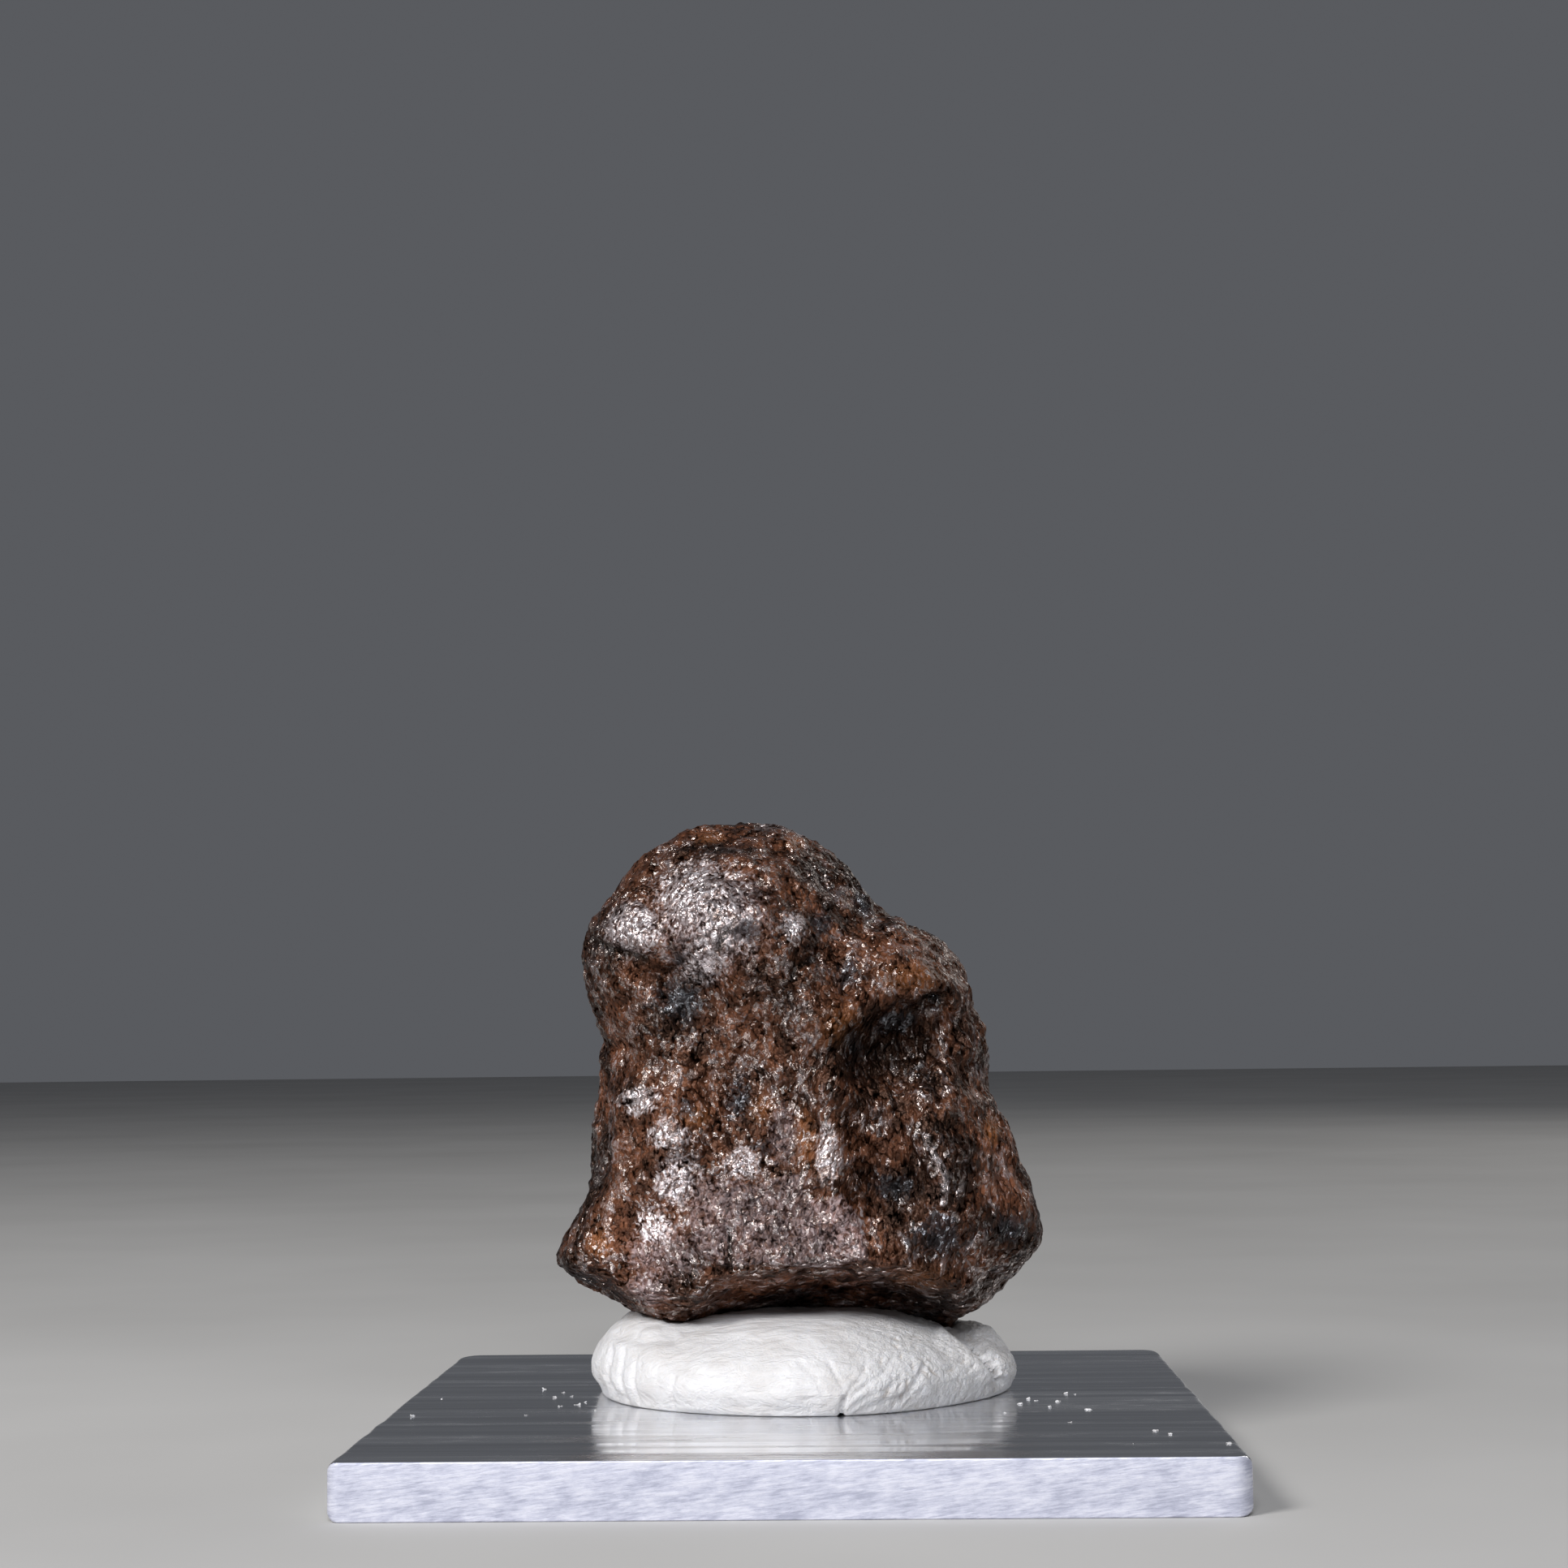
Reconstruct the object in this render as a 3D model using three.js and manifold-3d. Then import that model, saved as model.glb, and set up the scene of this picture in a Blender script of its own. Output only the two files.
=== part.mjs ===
// Iron meteorite held upright in a pad of white putty on a small aluminium plate.
// Millimetres, +Z up, the front towards -Y, origin at the centre of the plate's underside.
import * as THREE from 'three';
import { ImprovedNoise } from 'three/addons/math/ImprovedNoise.js';
import { mergeVertices } from 'three/addons/utils/BufferGeometryUtils.js';
import Module from 'manifold-3d';

const wasm = await Module();
wasm.setup();

// Plate: a square of aluminium flat bar with its edges broken and its corners filed round.
const PLATE_SIDE = 50;
const PLATE_THICKNESS = 3.2;
const PLATE_EDGE = 0.3;
const PLATE_EDGE_STEPS = 3;
const PLATE_CORNER = 1.2;
const PLATE_CORNER_STEPS = 5;

// Putty: a ball of mounting putty pressed to a thick round pad, a little out of round.
const PUTTY_RADIUS = 13.3;
const PUTTY_HEIGHT = 5.3;
const PUTTY_CENTRE_Y = 4.3;
const PUTTY_FOOT_INSET = 0.5;
const PUTTY_BULGE_HEIGHT = 1.3;
const PUTTY_ROUNDNESS = 0.72;
const PUTTY_SEGMENTS = 48;
const PUTTY_SIDE_STEPS = 9;
const PUTTY_GAP = 0.3;
// Waves round the pad's outline: [count, share of the radius, phase].
const PUTTY_WAVES = [[2, 0.02, 0.5], [3, 0.018, -1.1], [5, 0.012, 0]];
// Rolled lobes and the low side on top of the pad, placed by [x, y].
const PUTTY_FORMS = [
  { name: 'left lobe', kind: 'lump', at: [-10.8, 2.6], size: [3.6, 6.0], turn: 0, rise: 1.4 },
  { name: 'front crest', kind: 'lump', at: [1.0, -4.6], size: [8.0, 4.0], turn: 0, rise: 0.4 },
  { name: 'right low side', kind: 'lump', at: [10.4, 1.0], size: [5.4, 9.0], turn: 0, rise: -0.8 },
  { name: 'right flap', kind: 'lump', at: [12.0, 6.0], size: [2.0, 4.0], turn: 0, rise: 1.0 },
];

// Meteorite: half-depths are measured from the plane of its outline.
const STONE_CENTRE = new THREE.Vector3(0, 3.5, 22.5);
const STONE_FRONT_DEPTH = 8.2;
const STONE_BACK_DEPTH = 9.4;
const STONE_DETAIL = 18;
const STONE_BOXINESS = 3;
const STONE_EDGE_FADE = 1.6;
const OUTLINE_STEPS = 720;
const OUTLINE_SMOOTHING = 1.6;
const OUTLINE_SAMPLES = 15;

// Outline of the meteorite seen from the front, [x, z], clockwise from the crown.
const OUTLINE = [
  [-3.2, 39.5], [0.1, 38.8], [2.8, 37.1], [4.6, 34.9], [6.6, 33.2], [9.1, 32.2],
  [10.6, 29.9], [11.8, 26.9], [12.1, 23.8], [12.2, 22.5], [13.6, 19.5], [14.4, 16.8],
  [15.3, 14.3], [15.5, 13.1], [14.2, 11.1], [11.8, 8.8], [10.4, 7.3], [9.4, 6.7],
  [6.0, 7.4], [0.5, 8.4], [-5.0, 7.8], [-8.2, 7.1], [-9.8, 8.0], [-12.8, 9.3],
  [-14.9, 10.8], [-15.4, 12.0], [-14.2, 14.0], [-13.3, 16.1], [-13.0, 19.6], [-12.5, 23.3],
  [-12.5, 27.0], [-13.1, 28.8], [-13.5, 31.4], [-12.7, 33.6], [-11.3, 35.8], [-9.8, 37.6],
  [-7.6, 38.9],
];

// Lower edge of the front face, [x, z]: below it the stone is cut back to its feet.
const BRIM = [
  [-15.4, 12.4], [-11.0, 10.3], [-7.7, 8.0], [-5.8, 10.4], [-3.5, 11.5], [1.0, 12.1],
  [5.9, 11.9], [9.4, 10.2], [11.5, 8.6], [15.5, 9.5],
];
const UNDERCUT_SLOPE = 1.9;
const BRIM_FLARE = 1.9;
const BRIM_FLARE_HEIGHT = 2.6;

// Lumps rise softly and bowls are scooped with a crisp rim. Sizes are half-widths.
const FRONT_FORMS = [
  { name: 'head', kind: 'lump', at: [-3.8, 33.6], size: [7.4, 6.6], turn: 30, rise: 2.4 },
  { name: 'head left facet', kind: 'lump', at: [-10.4, 32.8], size: [3.4, 3.2], turn: 0, rise: 0.9 },
  { name: 'head right slope', kind: 'bowl', at: [3.0, 34.6], size: [4.0, 3.6], turn: -40, rise: -0.9 },
  { name: 'jaw hollow', kind: 'bowl', at: [-7.0, 27.6], size: [4.0, 3.0], turn: -35, rise: -1.0 },
  { name: 'shoulder', kind: 'lump', at: [8.4, 30.2], size: [4.8, 3.0], turn: -30, rise: 1.3 },
  { name: 'right hollow', kind: 'bowl', at: [6.6, 25.6], size: [4.6, 3.6], turn: 25, rise: -1.6 },
  { name: 'right trough', kind: 'bowl', at: [5.2, 20.0], size: [3.0, 7.0], turn: -8, rise: -1.0 },
  { name: 'lower hollow', kind: 'bowl', at: [5.6, 16.8], size: [3.6, 2.6], turn: 20, rise: -0.9 },
  { name: 'left cheek', kind: 'lump', at: [-8.8, 20.0], size: [4.6, 5.4], turn: 0, rise: 1.5 },
  { name: 'middle hollow', kind: 'bowl', at: [-3.6, 23.4], size: [4.0, 4.2], turn: 0, rise: -0.9 },
  { name: 'brown hollow', kind: 'bowl', at: [0.2, 20.2], size: [1.6, 2.8], turn: -10, rise: -0.9 },
  { name: 'right flank', kind: 'lump', at: [9.2, 16.5], size: [4.4, 8.0], turn: 0, rise: 1.2 },
];
const BACK_FORMS = [
  { name: 'back crown', kind: 'lump', at: [-2.0, 34.0], size: [8.0, 5.6], turn: 0, rise: 1.4 },
  { name: 'back scoop', kind: 'bowl', at: [-5.0, 25.0], size: [7.0, 6.0], turn: 20, rise: -2.4 },
  { name: 'back thumbprint', kind: 'bowl', at: [6.4, 27.0], size: [5.0, 4.4], turn: -20, rise: -1.8 },
  { name: 'back low scoop', kind: 'bowl', at: [4.0, 17.0], size: [7.4, 4.8], turn: 10, rise: -2.2 },
  { name: 'back heel', kind: 'lump', at: [-7.6, 14.0], size: [6.0, 5.0], turn: 0, rise: 1.8 },
];

// Crests and creases that run across the front, as lines of [x, z].
const FRONT_LINES = [
  { name: 'ridge', path: [[-0.6, 30.6], [1.9, 26.4], [2.2, 20.4], [3.2, 15.6]], width: 2.2, rise: 1.0 },
  { name: 'head groove', path: [[-9.0, 36.2], [-7.2, 30.6]], width: 1.4, rise: -0.6 },
  { name: 'jaw crease', path: [[-13.6, 31.7], [-8.9, 30.0], [-5.4, 28.9]], width: 1.3, rise: -0.7 },
  { name: 'hollow lip', path: [[3.2, 26.8], [6.7, 28.6], [10.4, 29.2]], width: 1.5, rise: 0.8 },
];

// Thumbprints all over the stone, shallow bowls that meet in crests: [wavelength, depth].
const THUMBPRINTS = [[6.4, 0.9], [3.3, 0.5]];
const THUMBPRINT_MEAN = 0.25;
const THUMBPRINT_PLACE = new THREE.Vector3(9.1, 3.7, 0);
// The outline's plane is warped, so that the stone's edge does not lie flat.
const WARP_WAVELENGTH = 17;
const WARP_HEIGHT = 2.6;
const WARP_PLACE = new THREE.Vector2(0.4, 5.2);

// Points closer than this are one vertex.
const SAME_POINT = 1e-4;

const noise = new ImprovedNoise();

// A closed curve's distance from a centre, tabulated by angle.
function polarTable(points, centre, steps) {
  const polar = points.map((p) => ({
    angle: Math.atan2(p.y - centre.z, p.x - centre.x),
    radius: Math.hypot(p.x - centre.x, p.y - centre.z),
  })).sort((a, b) => a.angle - b.angle);
  const last = polar[polar.length - 1];
  polar.unshift({ angle: last.angle - 2 * Math.PI, radius: last.radius });
  polar.push({ angle: polar[1].angle + 2 * Math.PI, radius: polar[1].radius });
  let next = 1;
  return Array.from({ length: steps }, (_, i) => {
    const angle = -Math.PI + (2 * Math.PI * i) / steps;
    while (polar[next].angle < angle) {
      next += 1;
    }
    const a = polar[next - 1];
    const b = polar[next];
    return THREE.MathUtils.lerp(a.radius, b.radius, (angle - a.angle) / (b.angle - a.angle));
  });
}

const outlineCurve = new THREE.CatmullRomCurve3(
  OUTLINE.map(([x, z]) => new THREE.Vector3(x, z, 0)), true, 'centripetal');
const outlineTable = polarTable(outlineCurve.getPoints(OUTLINE_STEPS), STONE_CENTRE, OUTLINE_STEPS);

// The outline's radius at an angle, averaged over a window so that it smooths out away from the edge.
function outlineRadius(angle, window) {
  let sum = 0;
  for (let i = 0; i < OUTLINE_SAMPLES; i++) {
    const turned = angle + window * (i / (OUTLINE_SAMPLES - 1) - 0.5);
    const place = (turned / (2 * Math.PI) + 1.5) * OUTLINE_STEPS;
    const low = Math.floor(place);
    const a = outlineTable[low % OUTLINE_STEPS];
    const b = outlineTable[(low + 1) % OUTLINE_STEPS];
    sum += THREE.MathUtils.lerp(a, b, place - low);
  }
  return sum / OUTLINE_SAMPLES;
}

// Height of a line of [x, z] points at an x.
function heightAt(line, x) {
  const after = line.findIndex(([px]) => px > x);
  if (after === 0) return line[0][1];
  if (after < 0) return line[line.length - 1][1];
  const [x0, z0] = line[after - 1];
  const [x1, z1] = line[after];
  return THREE.MathUtils.lerp(z0, z1, (x - x0) / (x1 - x0));
}

function formRise(form, x, z) {
  const turn = THREE.MathUtils.degToRad(form.turn);
  const dx = x - form.at[0];
  const dz = z - form.at[1];
  const along = (dx * Math.cos(turn) + dz * Math.sin(turn)) / form.size[0];
  const across = (dz * Math.cos(turn) - dx * Math.sin(turn)) / form.size[1];
  const inside = 1 - along * along - across * across;
  if (inside <= 0) return 0;
  return form.rise * (form.kind === 'bowl' ? inside : inside * inside);
}

function lineRise(line, x, z) {
  const point = new THREE.Vector3(x, z, 0);
  const nearest = new THREE.Vector3();
  let distance = Infinity;
  for (let i = 1; i < line.path.length; i++) {
    const stretch = new THREE.Line3(
      new THREE.Vector3(...line.path[i - 1], 0), new THREE.Vector3(...line.path[i], 0));
    stretch.closestPointToPoint(point, true, nearest);
    distance = Math.min(distance, nearest.distanceTo(point));
  }
  const inside = 1 - (distance / line.width) ** 2;
  return inside > 0 ? line.rise * inside * inside : 0;
}

// How far the front face stands out of the outline's plane, before its fall to the edge.
function frontRelief(x, z) {
  const above = z - heightAt(BRIM, x);
  const flare = above > 0 ? BRIM_FLARE * Math.exp(-above / BRIM_FLARE_HEIGHT) : BRIM_FLARE;
  const forms = FRONT_FORMS.reduce((sum, form) => sum + formRise(form, x, z), 0);
  const lines = FRONT_LINES.reduce((sum, line) => sum + lineRise(line, x, z), 0);
  return flare + forms + lines + UNDERCUT_SLOPE * Math.min(0, above);
}

function backRelief(x, z) {
  return BACK_FORMS.reduce((sum, form) => sum + formRise(form, x, z), 0);
}

function warp(x, z) {
  const across = x / WARP_WAVELENGTH + WARP_PLACE.x;
  return WARP_HEIGHT * noise.noise(across, WARP_PLACE.y, z / WARP_WAVELENGTH);
}

// A point of a unit sphere, carried to the stone's surface.
function stonePoint(unit) {
  const angle = Math.atan2(unit.z, unit.x);
  const reach = Math.hypot(unit.x, unit.z);
  const swell = Math.sqrt(Math.max(0, 1 - reach ** STONE_BOXINESS));
  const radius = reach * outlineRadius(angle, (1 - reach) * OUTLINE_SMOOTHING);
  const x = STONE_CENTRE.x + radius * Math.cos(angle);
  const z = STONE_CENTRE.z + radius * Math.sin(angle);
  const front = unit.y < 0;
  const relief = front ? frontRelief(x, z) : backRelief(x, z);
  const fade = Math.min(1, STONE_EDGE_FADE * swell);
  const depth = (front ? STONE_FRONT_DEPTH : STONE_BACK_DEPTH) * swell + relief * fade;
  return new THREE.Vector3(x, STONE_CENTRE.y + warp(x, z) + (front ? -depth : depth), z);
}

function thumbprints(point) {
  const place = new THREE.Vector3();
  return THUMBPRINTS.reduce((sum, [wave, depth]) => {
    place.copy(point).divideScalar(wave).add(THUMBPRINT_PLACE);
    return sum + depth * (THUMBPRINT_MEAN - Math.abs(noise.noise(place.x, place.y, place.z)));
  }, 0);
}

// The same surface with its shared points made one.
function merged(geometry) {
  geometry.deleteAttribute('normal');
  geometry.deleteAttribute('uv');
  return mergeVertices(geometry, SAME_POINT);
}

// The stone's surface, grown outwards by an allowance.
function stoneGeometry(allowance) {
  const geometry = merged(new THREE.IcosahedronGeometry(1, STONE_DETAIL));
  const place = geometry.getAttribute('position');
  const point = new THREE.Vector3();
  for (let i = 0; i < place.count; i++) {
    point.fromBufferAttribute(place, i).normalize();
    place.setXYZ(i, ...stonePoint(point));
  }
  geometry.computeVertexNormals();
  const normal = geometry.getAttribute('normal');
  const outward = new THREE.Vector3();
  for (let i = 0; i < place.count; i++) {
    point.fromBufferAttribute(place, i);
    outward.fromBufferAttribute(normal, i);
    point.addScaledVector(outward, thumbprints(point) + allowance);
    place.setXYZ(i, ...point);
  }
  geometry.deleteAttribute('normal');
  return geometry;
}

function puttyReach(angle) {
  const waves = PUTTY_WAVES.map(([count, share, phase]) => share * Math.cos(count * angle + phase));
  return waves.reduce((sum, wave) => sum + wave, 1);
}

function puttyGeometry() {
  const dome = PUTTY_HEIGHT - PUTTY_BULGE_HEIGHT;
  const profile = [
    new THREE.Vector2(0, 0),
    new THREE.Vector2(PUTTY_RADIUS - PUTTY_FOOT_INSET, 0),
  ];
  for (let i = 0; i < PUTTY_SIDE_STEPS; i++) {
    const turn = (Math.PI / 2) * (i / PUTTY_SIDE_STEPS);
    profile.push(new THREE.Vector2(
      PUTTY_RADIUS * Math.cos(turn) ** PUTTY_ROUNDNESS,
      PUTTY_BULGE_HEIGHT + dome * Math.sin(turn)));
  }
  profile.push(new THREE.Vector2(0, PUTTY_HEIGHT));
  const lathe = new THREE.LatheGeometry(profile, PUTTY_SEGMENTS);
  const geometry = merged(lathe.rotateX(Math.PI / 2));
  const place = geometry.getAttribute('position');
  for (let i = 0; i < place.count; i++) {
    const reach = puttyReach(Math.atan2(place.getY(i), place.getX(i)));
    const x = place.getX(i) * reach;
    const y = place.getY(i) * reach + PUTTY_CENTRE_Y;
    const z = place.getZ(i);
    const rise = PUTTY_FORMS.reduce((sum, form) => sum + formRise(form, x, y), 0);
    place.setXYZ(i, x, y, PLATE_THICKNESS + z + rise * (z / PUTTY_HEIGHT));
  }
  return geometry;
}

function plateGeometry() {
  const radius = PLATE_CORNER - PLATE_EDGE;
  const corner = PLATE_SIDE / 2 - PLATE_CORNER;
  const outline = new THREE.Shape();
  outline.absarc(corner, corner, radius, 0, Math.PI / 2);
  outline.absarc(-corner, corner, radius, Math.PI / 2, Math.PI);
  outline.absarc(-corner, -corner, radius, Math.PI, 1.5 * Math.PI);
  outline.absarc(corner, -corner, radius, 1.5 * Math.PI, 2 * Math.PI);
  const geometry = new THREE.ExtrudeGeometry(outline, {
    depth: PLATE_THICKNESS - 2 * PLATE_EDGE,
    bevelThickness: PLATE_EDGE,
    bevelSize: PLATE_EDGE,
    bevelSegments: PLATE_EDGE_STEPS,
    curveSegments: PLATE_CORNER_STEPS,
  });
  geometry.translate(0, 0, PLATE_EDGE);
  return geometry;
}

function solidOf(geometry) {
  return new wasm.Manifold(new wasm.Mesh({
    numProp: 3,
    vertProperties: geometry.getAttribute('position').array,
    triVerts: new Uint32Array(geometry.index.array),
  }));
}

function geometryOf(solid) {
  const mesh = solid.getMesh();
  return new THREE.BufferGeometry()
    .setAttribute('position', new THREE.BufferAttribute(mesh.vertProperties, 3))
    .setIndex(new THREE.BufferAttribute(mesh.triVerts, 1));
}

function piece(name, geometry, finish) {
  const mesh = new THREE.Mesh(geometry, new THREE.MeshStandardMaterial(finish));
  mesh.name = name;
  return mesh;
}

// The stone is pressed into the putty, which takes its print with a small gap.
const socket = solidOf(puttyGeometry()).subtract(solidOf(stoneGeometry(PUTTY_GAP)));

const specimen = new THREE.Group();
specimen.name = 'iron_meteorite';
specimen.add(
  piece('base_plate', plateGeometry(), { color: 0xb4b6bc, roughness: 0.3, metalness: 1 }),
  piece('putty_pad', geometryOf(socket), { color: 0xe9e7e4, roughness: 0.7, metalness: 0 }),
  piece('meteorite', stoneGeometry(0), { color: 0x4a2c20, roughness: 0.35, metalness: 0.4 }),
);

export default specimen;
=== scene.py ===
# Iron meteorite stood upright in a pad of white putty on a small aluminium plate.
import math

import bmesh
import bpy
import numpy as np
from mathutils import Matrix, Vector, noise
from mathutils.bvhtree import BVHTree


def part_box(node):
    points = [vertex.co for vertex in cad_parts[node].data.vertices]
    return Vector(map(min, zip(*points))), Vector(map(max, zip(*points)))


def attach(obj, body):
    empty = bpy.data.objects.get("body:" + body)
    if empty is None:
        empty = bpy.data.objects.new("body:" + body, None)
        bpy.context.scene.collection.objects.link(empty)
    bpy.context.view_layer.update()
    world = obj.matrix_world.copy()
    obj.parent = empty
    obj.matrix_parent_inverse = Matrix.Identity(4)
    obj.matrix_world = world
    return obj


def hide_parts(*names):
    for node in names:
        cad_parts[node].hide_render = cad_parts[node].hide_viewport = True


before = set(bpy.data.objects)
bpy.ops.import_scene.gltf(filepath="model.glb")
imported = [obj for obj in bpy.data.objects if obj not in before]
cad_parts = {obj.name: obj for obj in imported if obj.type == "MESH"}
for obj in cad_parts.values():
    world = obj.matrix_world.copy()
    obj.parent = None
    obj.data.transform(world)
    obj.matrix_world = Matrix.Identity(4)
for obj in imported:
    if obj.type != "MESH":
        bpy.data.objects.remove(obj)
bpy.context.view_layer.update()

# Base plate
# A square cut from aluminium flat bar. Fine drawn lines run across its top, the two bar edges keep
# their round, the front and back ends are sawn and filed, and the corners are filed by hand.
# Sizes are in millimetres, apart from the studio's floor and lights.
MM = 0.001
PLATE_CORNERS = {"back right": 1.3, "back left": 1.7, "front left": 0.8, "front right": 1.1}
PLATE_BAR_EDGE = 0.55
PLATE_SAWN_EDGE = 0.1
PLATE_STEP = 0.3
PLATE_CORNER_STEPS = 10
PLATE_EDGE_STEPS = 6
PLATE_FLAT_RIM = 0.05
EDGE_DENT_SIZE = 2.6
EDGE_DENT_SHARE = 0.25
SAWN_FACING = 0.3
BRUSHED_WAVES = {"fine": (24, 0.3, 4), "bands": (60, 1.5, 9), "scuffs": (3.4, 0.9, 2)}
BRUSHED_COLOURS = [(0.4, (0.64, 0.65, 0.68)), (0.5, (0.8, 0.81, 0.84)), (0.6, (0.93, 0.94, 0.96))]
BRUSHED_HEIGHT = 0.02
SAWN_WAVES = {"marks": (1.1, 3, 0.13), "blotches": (1.5, 2, 0.7)}
SAWN_LEAN = {"marks": (0, -7, 0), "blotches": (0, -9, 0)}
SAWN_COLOURS = [(0.38, (0.44, 0.455, 0.56)), (0.5, (0.64, 0.655, 0.77)), (0.6, (0.82, 0.83, 0.93))]
SAWN_HEIGHT = 0.06


def finished(name, mesh, materials, body, replaced=None):
    """The object of a finished piece, tied to its body and its finish."""
    piece = bpy.data.objects.new(name, mesh)
    bpy.context.scene.collection.objects.link(piece)
    for material in materials:
        if mesh.materials.find(material.name) < 0:
            mesh.materials.append(material)
    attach(piece, body)
    if replaced:
        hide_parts(replaced)


def plate_outline(half_x, half_y):
    """Points round the plate's plan with their outward directions, in millimetres."""
    outline = []
    turns = {"back right": 0, "back left": 1, "front left": 2, "front right": 3}
    for corner, radius in PLATE_CORNERS.items():
        quarter = turns[corner]
        middle = math.radians(45 + 90 * quarter)
        centre = Vector((math.copysign(half_x - radius, math.cos(middle)),
                         math.copysign(half_y - radius, math.sin(middle))))
        for i in range(PLATE_CORNER_STEPS + 1):
            angle = math.radians(90 * (quarter + i / PLATE_CORNER_STEPS))
            out = Vector((math.cos(angle), math.sin(angle)))
            outline.append((centre + radius * out, out))
    dense = []
    for (start, out), (end, _) in zip(outline, outline[1:] + outline[:1]):
        pieces = max(1, round((end - start).length / PLATE_STEP))
        dense.extend((start.lerp(end, i / pieces), out) for i in range(pieces))
    return dense


def plate_mesh():
    low, high = (Vector(corner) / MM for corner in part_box("base_plate"))
    outline = plate_outline(high.x, high.y)
    quarter = math.pi / 2
    profile = [(-1, None)]
    profile += [(-1, quarter * i / PLATE_EDGE_STEPS) for i in range(PLATE_EDGE_STEPS + 1)]
    profile += [(1, quarter * (1 - i / PLATE_EDGE_STEPS)) for i in range(PLATE_EDGE_STEPS + 1)]
    profile += [(1, None)]
    shape = bmesh.new()
    rings = []
    for side, turn in profile:
        ring = []
        for point, out in outline:
            dent = noise.noise(Vector((point.x, point.y, 4.0 * side)) / EDGE_DENT_SIZE)
            edge = PLATE_SAWN_EDGE + (PLATE_BAR_EDGE - PLATE_SAWN_EDGE) * out.x ** 2
            edge *= 1 + EDGE_DENT_SHARE * dent
            inset = edge + PLATE_FLAT_RIM if turn is None else edge * (1 - math.sin(turn))
            drop = 0 if turn is None else edge * (1 - math.cos(turn))
            place = point - out * inset
            height = high.z - drop if side > 0 else low.z + drop
            ring.append(shape.verts.new((place.x * MM, place.y * MM, height * MM)))
        rings.append(ring)
    for lower, upper in zip(rings, rings[1:]):
        for i in range(len(outline)):
            j = (i + 1) % len(outline)
            shape.faces.new((lower[i], lower[j], upper[j], upper[i]))
    shape.faces.new(reversed(rings[0]))
    shape.faces.new(rings[-1])
    shape.normal_update()
    for face in shape.faces:
        face.smooth = True
        face.material_index = 1 if abs(face.normal.y) > SAWN_FACING else 0
    mesh = bpy.data.meshes.new("plate")
    shape.to_mesh(mesh)
    shape.free()
    return mesh


def add(tree, kind, inputs=None, **settings):
    """A new node of a tree, with its settings made and its inputs set or linked."""
    node = tree.nodes.new(kind)
    for name, value in settings.items():
        setattr(node, name, value)
    for key, value in (inputs or {}).items():
        if isinstance(value, bpy.types.NodeSocket):
            tree.links.new(value, node.inputs[key])
        else:
            node.inputs[key].default_value = value
    return node


def calc(tree, operation, *values):
    return add(tree, "ShaderNodeMath", dict(enumerate(values)), operation=operation).outputs[0]


def spread(tree, value, low, high, to_low=0.0, to_high=1.0):
    """A value's range carried smoothly to another range."""
    inputs = {"Value": value, "From Min": low, "From Max": high, "To Min": to_low, "To Max": to_high}
    return add(tree, "ShaderNodeMapRange", inputs, interpolation_type="SMOOTHSTEP").outputs["Result"]


def ramp(tree, value, stops):
    node = add(tree, "ShaderNodeValToRGB", {"Fac": value})
    while len(node.color_ramp.elements) < len(stops):
        node.color_ramp.elements.new(0.5)
    for element, (place, colour) in zip(node.color_ramp.elements, stops):
        element.position = place
        element.color = (*colour, 1)
    return node.outputs["Color"]


def tint(tree, share, below, above):
    inputs = {"Factor": share, "A": below, "B": above}
    for key in ("A", "B"):
        if not isinstance(inputs[key], bpy.types.NodeSocket):
            inputs[key] = (*inputs[key], 1)
    node = add(tree, "ShaderNodeMix", data_type="RGBA")
    for socket in node.inputs:
        if socket.identifier in ("Factor_Float", "A_Color", "B_Color"):
            value = inputs[socket.name]
            if isinstance(value, bpy.types.NodeSocket):
                tree.links.new(value, socket)
            else:
                socket.default_value = value
    return next(s for s in node.outputs if s.identifier == "Result_Color")


def grain_group():
    """Noise on object coordinates, stretched and turned, as one group for several finishes."""
    group = bpy.data.node_groups.new("grain", "ShaderNodeTree")
    for name in ("Wavelengths", "Turn"):
        group.interface.new_socket(name, in_out="INPUT", socket_type="NodeSocketVector")
    for name in ("Detail", "Roughness", "Distortion"):
        group.interface.new_socket(name, in_out="INPUT", socket_type="NodeSocketFloat")
    group.interface.new_socket("Grain", in_out="OUTPUT", socket_type="NodeSocketFloat")
    given = group.nodes.new("NodeGroupInput").outputs
    result = group.nodes.new("NodeGroupOutput").inputs["Grain"]
    place = add(group, "ShaderNodeTexCoord").outputs["Object"]
    inputs = {"Vector": place, "Rotation": given["Turn"], "Scale": given["Wavelengths"]}
    where = add(group, "ShaderNodeMapping", inputs, vector_type="TEXTURE").outputs["Vector"]
    inputs = {"Vector": where, "Scale": 1.0}
    inputs |= {name: given[name] for name in ("Detail", "Roughness", "Distortion")}
    group.links.new(add(group, "ShaderNodeTexNoise", inputs).outputs[0], result)
    return group


shared_grain = grain_group()


def grain(tree, waves, detail, roughness=0.55, distortion=0.0, turn=(0, 0, 0)):
    """The shared grain placed in a finish, with these wavelengths and this turn in degrees."""
    inputs = {"Wavelengths": [wave * MM for wave in waves], "Turn": [math.radians(a) for a in turn]}
    inputs |= {"Detail": detail, "Roughness": roughness, "Distortion": distortion}
    return add(tree, "ShaderNodeGroup", inputs, node_tree=shared_grain).outputs["Grain"]


def new_material(name):
    material = bpy.data.materials.new(name)
    material.use_nodes = True
    return material, material.node_tree, material.node_tree.nodes["Principled BSDF"]


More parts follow.
